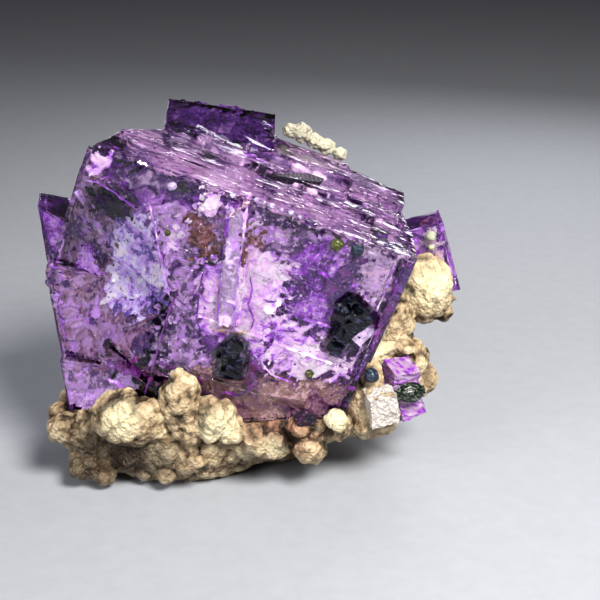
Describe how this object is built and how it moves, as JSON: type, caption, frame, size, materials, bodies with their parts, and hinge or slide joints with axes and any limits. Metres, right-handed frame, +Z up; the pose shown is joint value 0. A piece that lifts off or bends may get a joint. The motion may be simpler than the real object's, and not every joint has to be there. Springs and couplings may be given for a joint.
{
  "type": "fluorite with calcite",
  "caption": "Violet see-through fluorite in stepped, leaning blocks, grown on a nodular cream calcite crust with small dark mineral grains; rests on a flat spot underneath.",
  "frame": {"origin": "on the resting plane, under the middle of the specimen's outline", "axes": "+X to the right along the longest extent, +Y to the back, +Z up; the picture looks along +Y from slightly above"},
  "size_m": [0.0282, 0.0161, 0.0228],
  "materials": {
    "fluorite": "clear violet crystal with glossy, lightly stepped faces",
    "calcite": "waxy, slightly translucent nodules from cream to brown",
    "dark_mineral": "glossy, nearly black grains"
  },
  "bodies": {
    "root": {"fluorite_crystal": "fluorite", "fluorite_small": "fluorite", "calcite_crust": "calcite", "calcite_grains_back": "calcite", "dark_grain_right": "dark_mineral", "dark_grain_low": "dark_mineral"}
  },
  "joints": []
}
